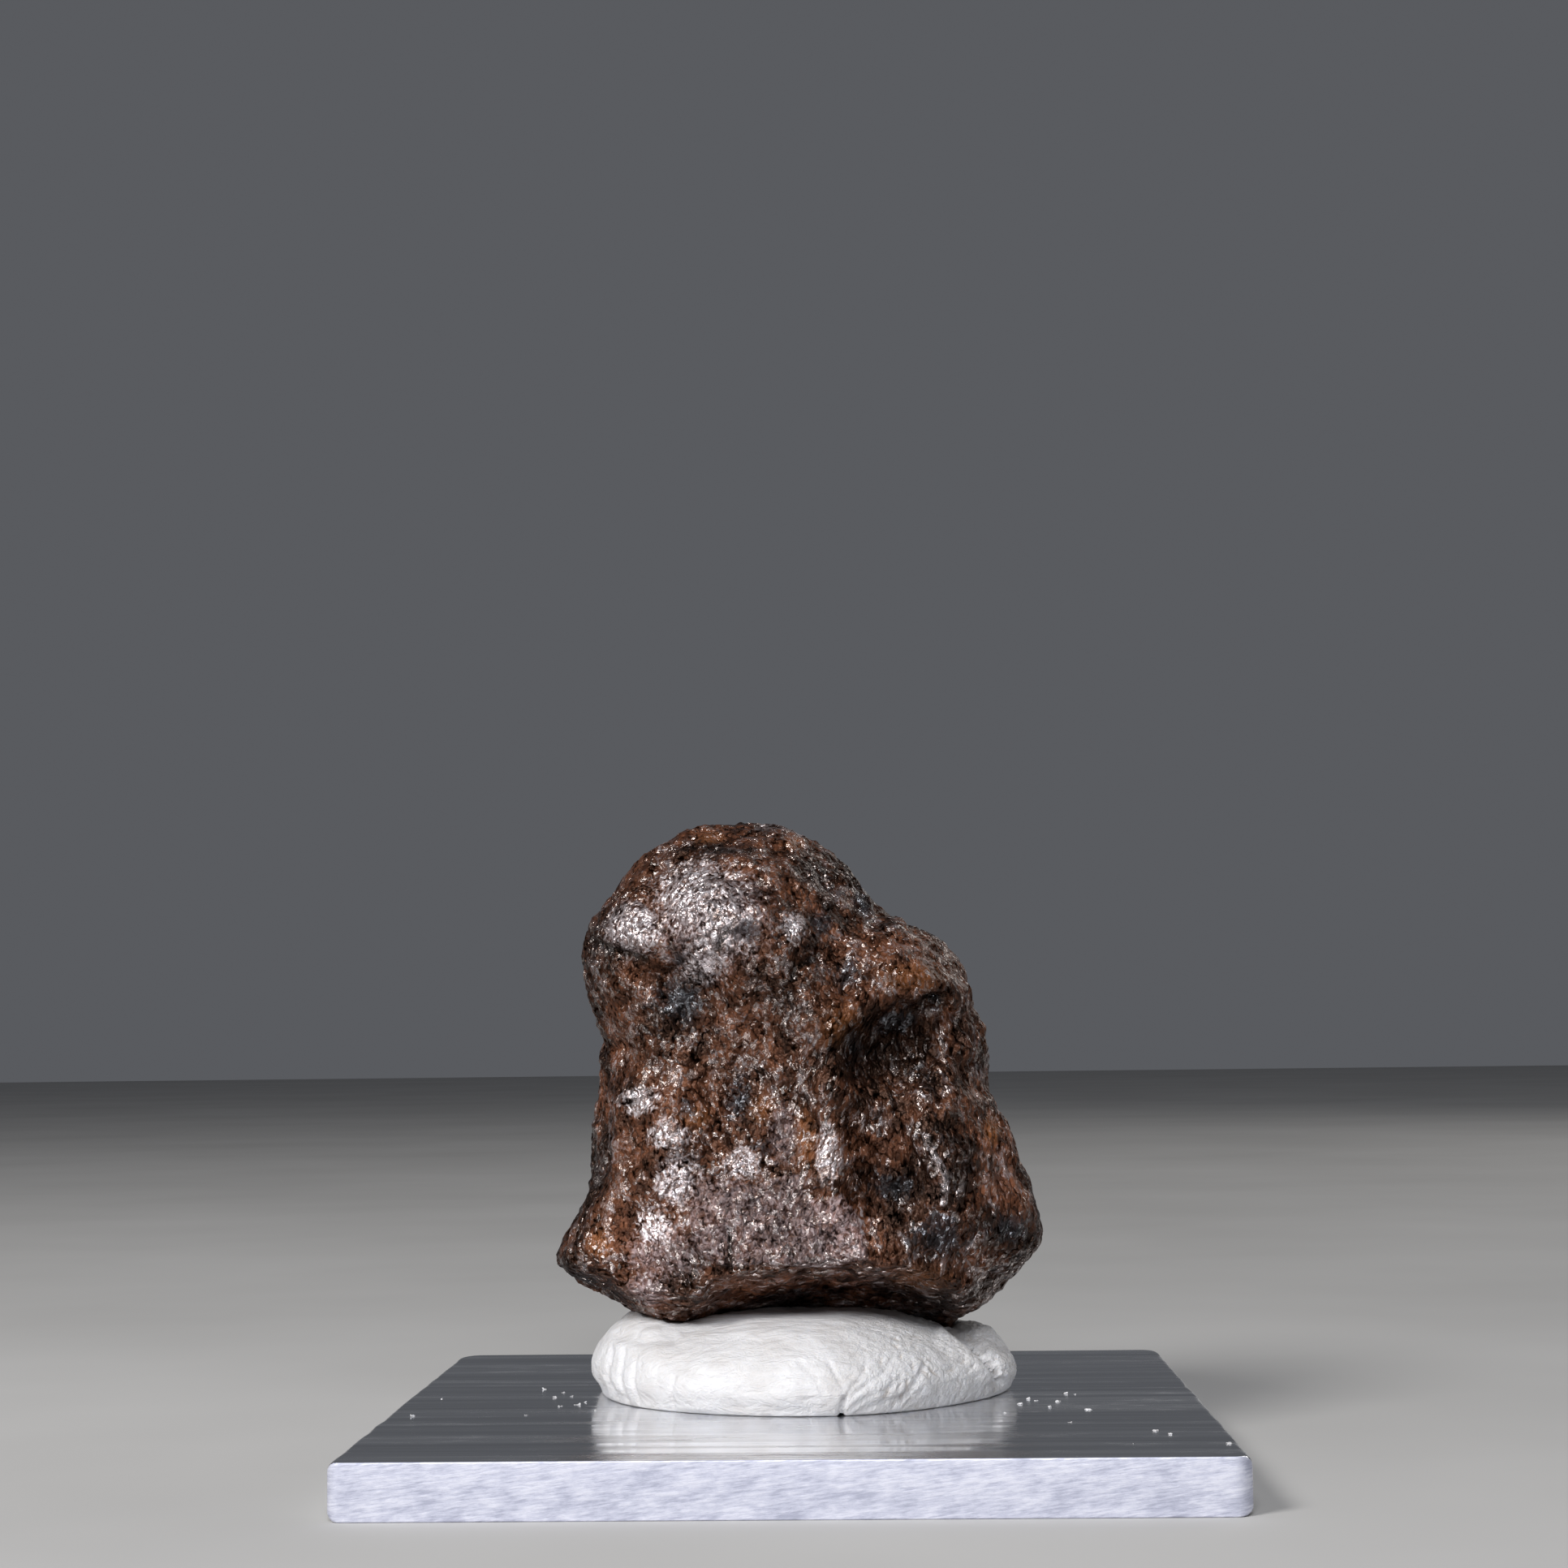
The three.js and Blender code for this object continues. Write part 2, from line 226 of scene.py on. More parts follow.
def bumped(tree, surface, height, strength, distance):
    """Gives a surface the fine bumps of a height."""
    inputs = {"Height": height, "Strength": strength, "Distance": distance * MM}
    bump = add(tree, "ShaderNodeBump", inputs)
    tree.links.new(bump.outputs["Normal"], surface.inputs["Normal"])


def brushed_aluminium():
    material, tree, surface = new_material("brushed_aluminium")
    fine = grain(tree, BRUSHED_WAVES["fine"], 3)
    bands = grain(tree, BRUSHED_WAVES["bands"], 4, 0.6)
    scuffs = grain(tree, BRUSHED_WAVES["scuffs"], 5, 0.65)
    lines = calc(tree, "ADD", calc(tree, "MULTIPLY", fine, 0.5), calc(tree, "MULTIPLY", bands, 0.5))
    tree.links.new(ramp(tree, lines, BRUSHED_COLOURS), surface.inputs["Base Color"])
    surface.inputs["Metallic"].default_value = 1.0
    dull = spread(tree, scuffs, 0.5, 0.75, 0.0, 0.14)
    dull = calc(tree, "ADD", spread(tree, bands, 0.35, 0.65, 0.08, 0.26), dull)
    tree.links.new(dull, surface.inputs["Roughness"])
    bumped(tree, surface, lines, 0.3, BRUSHED_HEIGHT)
    return material


def sawn_aluminium():
    material, tree, surface = new_material("sawn_aluminium")
    marks = grain(tree, SAWN_WAVES["marks"], 4, 0.65, turn=SAWN_LEAN["marks"])
    blotches = grain(tree, SAWN_WAVES["blotches"], 5, 0.65, turn=SAWN_LEAN["blotches"])
    mixed = calc(tree, "ADD", calc(tree, "MULTIPLY", marks, 0.5), calc(tree, "MULTIPLY", blotches, 0.5))
    tree.links.new(ramp(tree, mixed, SAWN_COLOURS), surface.inputs["Base Color"])
    surface.inputs["Metallic"].default_value = 0.3
    tree.links.new(spread(tree, mixed, 0.38, 0.62, 0.6, 0.36), surface.inputs["Roughness"])
    bumped(tree, surface, mixed, 0.7, SAWN_HEIGHT)
    return material


finished("plate", plate_mesh(), [brushed_aluminium(), sawn_aluminium()], "root", "base_plate")

# Meteorite
# One lump of iron with a glossy crust of rust. Its skin is a close pavement of small grains, drawn
# out upright on the right, over thumbprint hollows. It stands on two feet pressed into the putty.
STONE_RELIEF = {
    "Levels": 2,
    "Crag Size": 2.4,
    "Crag Height": 0.68,
    "Scale Size": 1.05,
    "Scale Height": 0.28,
    "Grain Size": 0.55,
    "Grain Height": 0.18,
    "Streak Length": 2.0,
}


def merged_copy(node):
    """A node's mesh with its loose triangles joined."""
    shape = bmesh.new()
    shape.from_mesh(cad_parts[node].data)
    bmesh.ops.remove_doubles(shape, verts=shape.verts, dist=0.001 * MM)
    mesh = bpy.data.meshes.new(node + "_copy")
    shape.to_mesh(mesh)
    shape.free()
    return mesh


def made_by(tree, mesh, values):
    """The plain mesh that a node tree makes of a mesh."""
    carrier = bpy.data.objects.new(tree.name, mesh)
    bpy.context.scene.collection.objects.link(carrier)
    modifier = carrier.modifiers.new(tree.name, "NODES")
    modifier.node_group = tree
    for item in tree.interface.items_tree:
        if item.in_out == "INPUT" and item.name in values:
            modifier[item.identifier] = values[item.name]
    graph = bpy.context.evaluated_depsgraph_get()
    result = bpy.data.meshes.new_from_object(carrier.evaluated_get(graph))
    carrier.modifiers.remove(modifier)
    bpy.data.objects.remove(carrier)
    return result


def new_tree(name, values):
    """A geometry tree with a named input for each value."""
    tree = bpy.data.node_groups.new(name, "GeometryNodeTree")
    tree.interface.new_socket("Geometry", in_out="INPUT", socket_type="NodeSocketGeometry")
    for key, value in values.items():
        kind = {int: "NodeSocketInt", float: "NodeSocketFloat"}.get(type(value), "NodeSocketMaterial")
        tree.interface.new_socket(key, in_out="INPUT", socket_type=kind)
    tree.interface.new_socket("Geometry", in_out="OUTPUT", socket_type="NodeSocketGeometry")
    start = tree.nodes.new("NodeGroupInput")
    end = tree.nodes.new("NodeGroupOutput")
    return tree, start.outputs, end.inputs["Geometry"]


def vector(tree, operation, *values, scale=None):
    inputs = dict(enumerate(values))
    if scale is not None:
        inputs["Scale"] = scale
    return add(tree, "ShaderNodeVectorMath", inputs, operation=operation).outputs[0]


def close_tree(tree, geometry, given, result):
    """Shades a tree's last geometry smooth, gives it its finish and hands it out."""
    shaded = add(tree, "GeometryNodeSetShadeSmooth", {"Geometry": geometry, "Shade Smooth": True})
    real = add(tree, "GeometryNodeRealizeInstances", {"Geometry": shaded.outputs[0]})
    inputs = {"Geometry": real.outputs[0], "Material": given["Finish"]}
    dressed = add(tree, "GeometryNodeSetMaterial", inputs)
    tree.links.new(dressed.outputs[0], result)


def stone_relief():
    """Subdivides the stone and raises crags, scales and grains along its normals."""
    tree, given, result = new_tree("stone_relief", {**STONE_RELIEF, "Finish": None})
    inputs = {"Mesh": given["Geometry"], "Level": given["Levels"]}
    smooth = add(tree, "GeometryNodeSubdivisionSurface", inputs)
    place = vector(tree, "SCALE", add(tree, "GeometryNodeInputPosition").outputs[0], scale=1 / MM)

    def waves(size, detail, roughness, where):
        inputs = {"Vector": where, "Scale": calc(tree, "DIVIDE", 1.0, size)}
        inputs |= {"Detail": detail, "Roughness": roughness}
        return add(tree, "ShaderNodeTexNoise", inputs)

    def cells(size, where):
        inputs = {"Vector": where, "Scale": calc(tree, "DIVIDE", 1.0, size), "Randomness": 1.0}
        near = add(tree, "ShaderNodeTexVoronoi", inputs, feature="F1").outputs["Distance"]
        return calc(tree, "SUBTRACT", 0.25, calc(tree, "MULTIPLY", near, near))

    wander = waves(given["Scale Size"], 2.0, 0.5, place).outputs["Color"]
    wander = vector(tree, "SUBTRACT", wander, (0.5, 0.5, 0.5))
    strayed = vector(tree, "MULTIPLY_ADD", wander, (0.9, 0.9, 0.9), place)
    pull = calc(tree, "DIVIDE", 1.0, given["Streak Length"])
    squeeze = add(tree, "ShaderNodeCombineXYZ", {"X": 1.0, "Y": 1.0, "Z": pull}).outputs[0]
    upright = vector(tree, "MULTIPLY", strayed, squeeze)
    drawn = add(tree, "GeometryNodeInputNamedAttribute", {"Name": "upright"}, data_type="FLOAT")

    crags = waves(given["Crag Size"], 3.0, 0.55, place).outputs[0]
    crags = calc(tree, "ABSOLUTE", calc(tree, "SUBTRACT", crags, 0.5))
    crags = calc(tree, "SUBTRACT", 0.2, calc(tree, "MULTIPLY", crags, 2.0))
    scales = cells(given["Scale Size"], strayed)
    inputs = {0: drawn.outputs[0]}
    inputs |= {2: cells(given["Grain Size"], strayed), 3: cells(given["Grain Size"], upright)}
    grains = add(tree, "ShaderNodeMix", inputs).outputs[0]
    worn = spread(tree, waves(given["Crag Size"], 2.0, 0.5, strayed).outputs[0], 0.3, 0.6, 0.45, 1.15)
    grains = calc(tree, "MULTIPLY", grains, worn)

    height = calc(tree, "MULTIPLY", crags, given["Crag Height"])
    height = calc(tree, "MULTIPLY_ADD", scales, given["Scale Height"], height)
    height = calc(tree, "MULTIPLY_ADD", grains, given["Grain Height"], height)
    normal = add(tree, "GeometryNodeInputNormal").outputs[0]
    offset = vector(tree, "SCALE", normal, scale=calc(tree, "MULTIPLY", height, MM))
    inputs = {"Geometry": smooth.outputs[0], "Name": "relief", "Value": height}
    kept = add(tree, "GeometryNodeStoreNamedAttribute", inputs, data_type="FLOAT", domain="POINT")
    raised = add(tree, "GeometryNodeSetPosition", {"Geometry": kept.outputs[0], "Offset": offset})
    close_tree(tree, raised.outputs[0], given, result)
    return tree


# The finest grain: its size and height, and how far and at what lean from upright it is drawn out.
STONE_SKIN = {
    "grain": 0.27,
    "height": 0.15,
    "lie": {"upright": (1.7, -4), "slanted": (1.9, 24), "level": (2.4, 86)},
}
# Coloured patches of the front, by [x, z] and half-widths in millimetres.
STONE_PATCHES = {
    # Sheen: partly bare metal, partly painted highlight on facets turned to the light.
    "sheen_and_painted_highlight": [
        ([-6.0, 34.6], [3.6, 3.0]), ([-4.2, 32.6], [2.6, 2.8]), ([-5.5, 30.4], [2.0, 2.0]),
        ([-9.9, 32.6], [2.4, 2.2]), ([0.1, 32.5], [1.0, 1.3]), ([-9.7, 21.9], [1.8, 1.2]),
        ([-7.9, 19.8], [1.7, 1.2]), ([-7.3, 17.2], [1.7, 2.1]), ([-8.8, 14.2], [1.6, 1.4]),
        ([2.0, 18.4], [0.9, 2.5]), ([-3.2, 18.0], [1.6, 1.2]),
    ],
    "lilac": [
        ([-8.2, 12.6], [3.2, 2.4]), ([-5.0, 33.0], [4.6, 4.2]), ([-9.9, 32.4], [2.6, 2.4]),
        ([-5.0, 16.0], [3.0, 1.6]), ([-9.3, 10.3], [1.8, 1.4]), ([-0.8, 19.7], [1.2, 2.4]),
    ],
    "soot": [
        ([-2.9, 32.3], [1.5, 1.1]), ([-6.9, 30.7], [0.8, 0.8]), ([-7.2, 27.9], [2.1, 2.2]),
        ([1.8, 33.1], [1.2, 1.5]), ([3.2, 29.4], [1.3, 1.6]), ([-3.5, 21.7], [1.3, 2.0]),
        ([-6.7, 21.6], [0.8, 1.2]), ([-1.9, 19.0], [0.9, 0.8]), ([6.2, 26.7], [2.2, 1.2]),
        ([8.9, 27.8], [0.8, 0.6]), ([3.7, 25.4], [0.9, 1.6]), ([6.0, 16.6], [2.4, 1.6]),
        ([8.9, 13.4], [2.2, 1.9]), ([13.4, 13.8], [2.1, 1.7]), ([4.6, 34.1], [0.8, 1.6]),
    ],
    "ochre": [
        ([-5.4, 38.5], [1.6, 0.7]), ([0.0, 38.1], [1.2, 0.7]), ([3.1, 26.4], [2.2, 2.2]),
        ([7.5, 29.4], [3.0, 1.4]), ([0.7, 19.6], [1.0, 2.8]), ([-2.2, 21.3], [1.2, 1.2]),
        ([-6.2, 21.0], [1.6, 1.2]), ([12.3, 19.8], [0.9, 1.5]), ([7.9, 10.7], [3.0, 1.5]),
        ([-12.3, 13.1], [1.1, 1.5]),
    ],
}
# How far each patch fades in, how ragged it is, and where noise puts it on the unseen sides.
PATCH_EDGES = {
    "sheen_and_painted_highlight": {"fade": (0.05, 0.75), "stray": 1.0, "elsewhere": (0.42, 0.34)},
    "lilac": {"fade": (0.05, 0.6), "stray": 1.0, "elsewhere": (0.46, 0.38)},
    "soot": {"fade": (0.15, 0.8), "stray": 1.7, "elsewhere": (0.56, 0.66)},
    "ochre": {"fade": (0.1, 0.8), "stray": 1.0, "elsewhere": (0.55, 0.7)},
}
PATCH_SHARES = {"ochre": 0.6, "lilac": 0.6, "soot": 0.72}
BAND_LILAC = 0.6
# The raised veins take sheen too: partly their pale colour, partly a painted glint.
VEIN_SHEEN_AND_HIGHLIGHT = 0.9
# Lighter and darker fields of the front: [x, z], half-widths and how much lighter or darker. Partly the
# crust's own tone, partly painted light and shade: the hollow painted darker, the shaded undercut and
# right flank lighter.
STONE_TONES_AND_PAINTED_LIGHT = [
    ([6.4, 25.4], [4.6, 3.8], -0.85), ([6.2, 16.3], [3.4, 2.6], -0.6), ([1.8, 25.8], [3.0, 4.0], -0.5),
    ([6.5, 29.4], [4.0, 1.6], -0.35),
    ([12.6, 18.5], [3.2, 6.0], 1.8), ([-10.5, 13.5], [4.5, 4.0], 0.5), ([-9.5, 21.0], [4.0, 4.0], 0.3),
    ([1.5, 34.0], [3.0, 3.5], 0.3), ([1.5, 10.0], [8.0, 2.4], 1.1), ([8.5, 13.0], [4.0, 2.8], -0.25),
    ([2.0, 14.2], [5.0, 2.8], 0.9), ([-2.5, 14.5], [4.5, 2.6], 0.3), ([-9.5, 9.5], [3.0, 2.5], 0.6),
    ([-12.5, 24.0], [3.2, 6.5], 0.6),
]
# The raised pale band above the front feet: its ragged outline, its height and the width of its step.
STONE_BAND = [
    [-6.6, 14.6], [-6.0, 16.3], [-4.3, 17.0], [-2.7, 16.6], [-1.0, 17.2], [0.3, 17.3], [0.8, 15.9],
    [1.5, 15.7], [2.8, 16.2], [3.5, 15.2], [4.3, 13.3], [4.4, 12.2], [2.0, 11.6], [-1.8, 12.0],
    [-4.2, 11.7], [-6.0, 12.6],
]
BAND_HEIGHT = 0.22
BAND_STEP = 0.35
# Cracks, steps and veins of the front: a line of [x, z], its half-width and its height.
STONE_LINES = {
    "jaw crease": ([[-13.2, 32.2], [-11.5, 31.3], [-9.2, 30.6]], 0.35, -0.35),
    "head slit": ([[-4.6, 31.0], [-4.0, 32.3]], 0.3, -0.3),
    "head step": ([[0.1, 29.4], [0.3, 30.0], [1.6, 30.8]], 0.3, -0.3),
    "band crack": ([[-4.0, 13.9], [-4.1, 11.6]], 0.25, -0.35),
    "right vein": ([[8.1, 19.6], [8.5, 18.5], [9.3, 17.2], [9.1, 15.5]], 0.28, 0.2),
    "vein pit": ([[8.4, 19.5], [8.4, 19.2]], 0.35, -0.35),
    "lip pit": ([[8.5, 27.8], [9.3, 27.9]], 0.6, -0.6),
}
# Where the grain changes its lie: start and end of each change, in millimetres or as a share of facing.
UNDERCUT_FACING = (0.25, 0.6)
UNDERCUT_HEIGHT = (14, 11)
RIDGE_LINE = [[4.0, 28.0], [1.5, 22.0], [1.5, 16.0]]
RIDGE_REACH = (2.6, 1.0)
FLANK_START = (2.5, 5.5)
FLANK_TOP = (33, 27)
# What counts as the front: the share of a spot seen edge on, its growth as the spot turns to the
# front, and how far back it may lie.
FRONT_EDGE_ON = 0.35
FRONT_GAIN = 1.6
FRONT_DEPTH = 4
LEAST_TONE_AND_LIGHT = 0.1
STONE_COLOURS = {
    "rust": [
        (0.38, (0.004, 0.0017, 0.0011)), (0.46, (0.017, 0.0059, 0.0028)),
        (0.53, (0.045, 0.0162, 0.0079)), (0.62, (0.094, 0.0355, 0.0175)),
    ],
    "crust": [(0.36, (0.034, 0.019, 0.017)), (0.5, (0.135, 0.097, 0.097)), (0.62, (0.28, 0.225, 0.23))],
    # Bare steel of the sheen, bright enough to paint its highlight.
    "steel_and_highlight": [(0.36, (0.1, 0.07, 0.066)), (0.48, (0.46, 0.4, 0.4)), (0.6, (0.9, 0.85, 0.88))],
    "ochre": (0.16, 0.056, 0.016),
    "soot": (0.009, 0.009, 0.0105),
    "dull glint": (1.0, 0.6, 0.44),
    "bright glint": (1.0, 0.88, 0.82),
    "soot glint": (0.84, 0.88, 0.95),
}
STONE_WAVES = {"clouds": (5.5, 5.5, 5.5), "mottle": (1.4, 1.4, 1.9), "far": (7, 9, 6)}
FAR_TURN = (20, 30, 10)
RUST_IOR = 2.0


def line_distance(points, line):
    """Distance of each point to a line of points, in a plane."""
    nearest = np.full(len(points), np.inf)
    for start, end in zip(np.array(line[:-1]), np.array(line[1:])):
        along = np.clip((points - start) @ (end - start) / ((end - start) @ (end - start)), 0, 1)
        apart = points - start - along[:, None] * (end - start)
        nearest = np.minimum(nearest, np.linalg.norm(apart, axis=1))
    return nearest


def inside(points, outline):
    """Which points of a plane lie within a closed outline."""
    within = np.zeros(len(points), dtype=bool)
    for (x0, y0), (x1, y1) in zip(outline, outline[1:] + outline[:1]):
        crosses = (points[:, 1] > y0) != (points[:, 1] > y1)
        within ^= crosses & (points[:, 0] < x0 + (points[:, 1] - y0) * (x1 - x0) / (y1 - y0))
    return within


def smooth_step(values, low, high):
    share = np.clip((values - low) / (high - low), 0, 1)
    return share * share * (3 - 2 * share)


def read(mesh, name, key, width):
    values = np.empty(len(mesh.vertices) * width, dtype=np.float32)
    getattr(mesh, name).foreach_get(key, values)
    return values.reshape(-1, width).astype(float)


def keep(mesh, name, values):
    attribute = mesh.attributes.new(name, "FLOAT", "POINT")
    attribute.data.foreach_set("value", values.astype(np.float32))


def stone_lie(mesh):
    """Stores where the grain runs upright, slants or lies level."""
    places = read(mesh, "vertices", "co", 3) / MM
    normals = read(mesh, "vertex_normals", "vector", 3)
    level = smooth_step(-normals[:, 2], *UNDERCUT_FACING) * smooth_step(places[:, 2], *UNDERCUT_HEIGHT)
    ridge = line_distance(places[:, [0, 2]], RIDGE_LINE)
    flank = smooth_step(places[:, 0], *FLANK_START) * smooth_step(places[:, 2], *FLANK_TOP)
    keep(mesh, "level", level)
    keep(mesh, "slanted", smooth_step(ridge, *RIDGE_REACH) * (normals[:, 1] < 0))
    keep(mesh, "upright", flank * (1 - level))


def stone_marks(mesh):
    """Cuts the front's cracks and veins into the mesh and stores its coloured patches, some of them
    painted highlight, and its fields of painted light and shade.
    """
    places = read(mesh, "vertices", "co", 3) / MM
    normals = read(mesh, "vertex_normals", "vector", 3)
    facing = np.clip(FRONT_EDGE_ON - FRONT_GAIN * normals[:, 1], 0, 1) * (places[:, 1] < FRONT_DEPTH)
    keep(mesh, "front", facing)
    plane = places[:, [0, 2]]
    rim = line_distance(plane, STONE_BAND + STONE_BAND[:1])
    band = smooth_step(np.where(inside(plane, STONE_BAND), rim, -rim), -BAND_STEP / 2, BAND_STEP / 2)
    cut = np.zeros(len(plane))
    vein = np.zeros(len(plane))
    rise = BAND_HEIGHT * band * facing
    for line, width, height in STONE_LINES.values():
        near = np.clip(1 - (line_distance(plane, line) / width) ** 2, 0, 1) * facing
        rise += height * near
        if height < 0:
            cut = np.maximum(cut, near)
        else:
            vein = np.maximum(vein, near)
    keep(mesh, "crack", cut)
    under = {"lilac": BAND_LILAC * band, "sheen_and_painted_highlight": VEIN_SHEEN_AND_HIGHLIGHT * vein}
    for name, patches in STONE_PATCHES.items():
        amount = under.get(name, np.zeros(len(plane)))
        for at, size in patches:
            reach = np.linalg.norm((plane - at) / size, axis=1)
            amount = np.maximum(amount, 1 - reach)
        keep(mesh, name, np.clip(amount, 0, 1))
    # Painted light and shade, with some of the crust's own tone: the front's lighter and darker fields.
    tone_and_painted_light = np.ones(len(plane))
    for at, size, change in STONE_TONES_AND_PAINTED_LIGHT:
        tone_and_painted_light += change * facing * smooth_step(np.linalg.norm((plane - at) / size, axis=1), 1, 0)
    keep(mesh, "tone_and_painted_light", np.maximum(tone_and_painted_light, LEAST_TONE_AND_LIGHT))
    places += normals * rise[:, None]
    mesh.vertices.foreach_set("co", (places * MM).astype(np.float32).ravel())
    mesh.update()


def stretched(tree, waves, turn=(0, 0, 0)):
    """Object coordinates that give a texture of scale 1 these wavelengths and this turn."""
    coordinates = add(tree, "ShaderNodeTexCoord").outputs["Object"]
    scale = [wave * MM for wave in waves]
    inputs = {"Vector": coordinates, "Rotation": [math.radians(a) for a in turn], "Scale": scale}
    return add(tree, "ShaderNodeMapping", inputs, vector_type="TEXTURE").outputs["Vector"]


def mottling(tree, where, detail, roughness, distortion=0.0):
    """The rust's own noise, in plain nodes because it also steers the glints."""
    inputs = {"Vector": where, "Scale": 1.0, "Detail": detail}
    inputs |= {"Roughness": roughness, "Distortion": distortion}
    return add(tree, "ShaderNodeTexNoise", inputs).outputs[0]


def rusted_iron():
    material, tree, surface = new_material("rusted_iron")

    def own(name):
        return add(tree, "ShaderNodeAttribute", attribute_name=name).outputs["Fac"]

    # Noise from broad clouds to fine mottle, and one more field for the sides that aren't drawn.
    clouds = mottling(tree, stretched(tree, STONE_WAVES["clouds"]), 5, 0.62, 0.4)
    mottle = mottling(tree, stretched(tree, STONE_WAVES["mottle"]), 4, 0.6, 0.5)
    far = mottling(tree, stretched(tree, STONE_WAVES["far"], FAR_TURN), 4, 0.6)
    ragged = calc(tree, "MULTIPLY", calc(tree, "SUBTRACT", mottle, 0.5), 1.35)

    # The skin's grains: each cell is a small plane that leans its own way.
    size = STONE_SKIN["grain"]
    where = stretched(tree, (size, size, size * 1.2))
    for name, (stretch, turn) in STONE_SKIN["lie"].items():
        other = stretched(tree, (size, size, size * stretch), (0, turn, 0))
        chosen = calc(tree, "GREATER_THAN", calc(tree, "ADD", own(name), ragged), 0.5)
        inputs = {0: chosen, 4: where, 5: other}
        where = add(tree, "ShaderNodeMix", inputs, data_type="VECTOR").outputs[1]
    inputs = {"Vector": where, "Scale": 0.7, "Detail": 1.0}
    wander = add(tree, "ShaderNodeTexNoise", inputs).outputs["Color"]
    where = vector(tree, "MULTIPLY_ADD", wander, (1.6, 1.6, 1.6), where)
    cell = add(tree, "ShaderNodeTexVoronoi", {"Vector": where, "Scale": 1.0}, feature="F1").outputs
    lean = vector(tree, "SUBTRACT", cell["Color"], (0.5, 0.5, 0.5))
    apart = vector(tree, "SUBTRACT", where, cell["Position"])
    facet = add(tree, "ShaderNodeVectorMath", {0: lean, 1: apart}, operation="DOT_PRODUCT")
    facet = facet.outputs["Value"]
    chance = add(tree, "ShaderNodeSeparateXYZ", {0: cell["Color"]}).outputs
    rough = mottling(tree, where, 4, 0.6, 0.5)
    skin = calc(tree, "MULTIPLY_ADD", rough, 0.6, calc(tree, "MULTIPLY", facet, 1.4))
    skin = calc(tree, "MULTIPLY_ADD", cell["Distance"], -0.5, skin)
    skin = calc(tree, "MULTIPLY_ADD", calc(tree, "SUBTRACT", mottle, 0.5), 2.6, skin)

    # The pits between the grains, and the lively grains that flash in the light.
    crest = calc(tree, "MULTIPLY_ADD", rough, 0.9, calc(tree, "MULTIPLY", cell["Distance"], -0.5))
    crest = spread(tree, crest, -0.1, 0.35)
    sunk = spread(tree, mottle, 0.42, 0.56, 1.0, 0.12)
    sunk = calc(tree, "MULTIPLY", sunk, spread(tree, own("lilac"), 0.0, 0.5, 1.0, 0.75))
    pit = calc(tree, "MULTIPLY", spread(tree, crest, 0.55, 0.1), sunk)
    lively = calc(tree, "MULTIPLY_ADD", calc(tree, "SUBTRACT", mottle, 0.5), 3.0, chance["Z"])
    lively = calc(tree, "MULTIPLY_ADD", own("upright"), -0.14, lively)
    lively = spread(tree, lively, 0.62, 0.82)

    # Rust of cloudy depth, and the coloured patches on it.
    shade = calc(tree, "ADD", calc(tree, "MULTIPLY", clouds, 0.6), calc(tree, "MULTIPLY", mottle, 0.4))
    shade = calc(tree, "MULTIPLY_ADD", calc(tree, "SUBTRACT", chance["X"], 0.5), 0.1, shade)
    rust = ramp(tree, shade, STONE_COLOURS["rust"])
    unseen = calc(tree, "SUBTRACT", 1.0, own("front"))
    scatter = calc(tree, "ADD", calc(tree, "MULTIPLY", ragged, 0.9), calc(tree, "SUBTRACT", rough, 0.5))

    def patch(name, field):
        edge = PATCH_EDGES[name]
        drawn = calc(tree, "MULTIPLY_ADD", scatter, edge["stray"], own(name))
        drawn = calc(tree, "MULTIPLY", spread(tree, drawn, *edge["fade"]), own("front"))
        wild = calc(tree, "MULTIPLY", spread(tree, field, *edge["elsewhere"]), unseen)
        return calc(tree, "MAXIMUM", drawn, wild)

    ochre = patch("ochre", clouds)
    soot = patch("soot", far)
    lilac = patch("lilac", far)
    sheen_and_painted_highlight = patch("sheen_and_painted_highlight", far)
    sheen_and_painted_highlight = calc(tree, "MULTIPLY", sheen_and_painted_highlight, calc(tree, "SUBTRACT", 1.0, soot))
    share = calc(tree, "MULTIPLY", ochre, PATCH_SHARES["ochre"])
    colour = tint(tree, share, rust, STONE_COLOURS["ochre"])
    share = calc(tree, "MULTIPLY", lilac, PATCH_SHARES["lilac"])
    colour = tint(tree, share, colour, ramp(tree, rough, STONE_COLOURS["crust"]))
    share = calc(tree, "MULTIPLY", soot, PATCH_SHARES["soot"])
    colour = tint(tree, share, colour, STONE_COLOURS["soot"])

    # Bare metal and painted highlight in the sheen, and painted shade that darkens the crevices, cracks
    # and hollows, with the lighter and darker fields.
    bare_metal_and_highlight = calc(tree, "MULTIPLY", sheen_and_painted_highlight, spread(tree, chance["Y"], 0.15, 0.5, 0.25, 1.0))
    bare_metal_and_highlight = calc(tree, "MULTIPLY", bare_metal_and_highlight, spread(tree, crest, 0.1, 0.6, 0.2, 0.85))
    colour = tint(tree, bare_metal_and_highlight, colour, ramp(tree, rough, STONE_COLOURS["steel_and_highlight"]))
    # Painted shade: darker in the crevices between the grains, in the cracks and pits, and in the
    # hollows of the relief; the clouds give the rust's own uneven tone.
    depth = calc(tree, "SUBTRACT", 1.15, calc(tree, "MULTIPLY", spread(tree, crest, 0.85, 0.0), sunk))
    depth = calc(tree, "MULTIPLY", depth, calc(tree, "SUBTRACT", 1.0, own("crack")))
    depth = calc(tree, "MULTIPLY", depth, spread(tree, own("relief"), -0.46, -0.16, 0.5, 1.0))
    depth = calc(tree, "MULTIPLY", depth, spread(tree, clouds, 0.36, 0.56, 0.5, 1.12))
